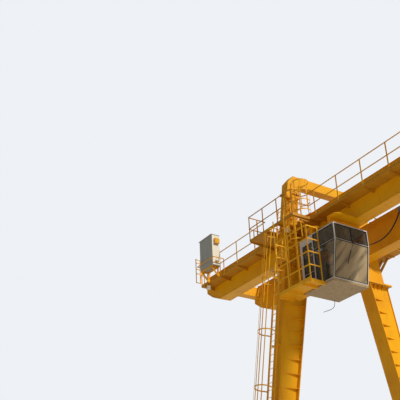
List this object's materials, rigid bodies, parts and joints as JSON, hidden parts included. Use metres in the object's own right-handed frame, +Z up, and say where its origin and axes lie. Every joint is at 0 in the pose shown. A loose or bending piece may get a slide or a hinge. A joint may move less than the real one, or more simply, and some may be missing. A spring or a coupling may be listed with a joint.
{
  "type": "gantry crane",
  "caption": "Double-girder gantry crane with cantilevers, arched leg frames, glazed operator's cab, walkway with railings, caged ladders and festoon cable.",
  "frame": {"origin": "on the ground midway between the leg frames and midway between the two sill ends, under the middle of the girders", "axes": "+X along the girders from the cabinet end to the far cantilever, +Y from the walkway side to the rear girder, +Z up"},
  "size_m": [36.94, 12.36, 19.25],
  "materials": {
    "crane_yellow": "satin yellow enamel, weathered",
    "walkway_plate": "worn enamel on chequer plate",
    "rail_steel": "rolled steel, rusty with a worn head",
    "wheel_steel": "cast steel",
    "cab_grey": "pale grey satin enamel",
    "cab_beige": "beige enamel with rust spots",
    "window_glass": "tinted glazing",
    "seat_black": "black upholstery and dark consoles",
    "cabinet_grey": "grey enamel",
    "cable_black": "matt rubber sheath"
  },
  "bodies": {
    "crane": {"front_girder": "crane_yellow", "rear_girder": "crane_yellow", "end_tie_a": "crane_yellow", "end_tie_b": "crane_yellow", "trolley_rails": "rail_steel", "arch_a": "crane_yellow", "arch_b": "crane_yellow", "head_front_a": "crane_yellow", "head_rear_a": "crane_yellow", "head_front_b": "crane_yellow", "head_rear_b": "crane_yellow", "leg_front_a": "crane_yellow", "leg_rear_a": "crane_yellow", "leg_front_b": "crane_yellow", "leg_rear_b": "crane_yellow", "sill_a": "crane_yellow", "sill_b": "crane_yellow", "trucks_a": "crane_yellow", "trucks_b": "crane_yellow", "wheels_a": "wheel_steel", "wheels_b": "wheel_steel", "walkway": "walkway_plate", "walkway_railing": "crane_yellow", "bay_a": "walkway_plate", "bay_b": "walkway_plate", "rear_platform_a": "walkway_plate", "rear_platform_b": "walkway_plate", "leg_ladder": "crane_yellow", "arch_ladder": "crane_yellow", "cab_ladder": "crane_yellow", "cab_hanger": "crane_yellow", "cab_frame": "cab_grey", "cab_roof": "cab_beige", "cab_floor": "cab_beige", "cab_glass": "window_glass", "cab_platform": "crane_yellow", "operator_seat": "seat_black", "cabinet": "cabinet_grey", "cabinet_stand": "crane_yellow", "junction_box": "crane_yellow", "festoon_rail": "crane_yellow", "festoon_cable": "cable_black", "conduit": "crane_yellow", "loose_cable": "cable_black"},
    "door": {"cab_door": "cab_grey", "door_glass": "window_glass"}
  },
  "joints": [
    {"name": "cab_door_hinge", "type": "hinge", "parent": "crane", "child": "door", "pos_m": [-9.026, -2.921, 14], "axis": [0, 0, 1], "range_deg": [0, 85]}
  ]
}
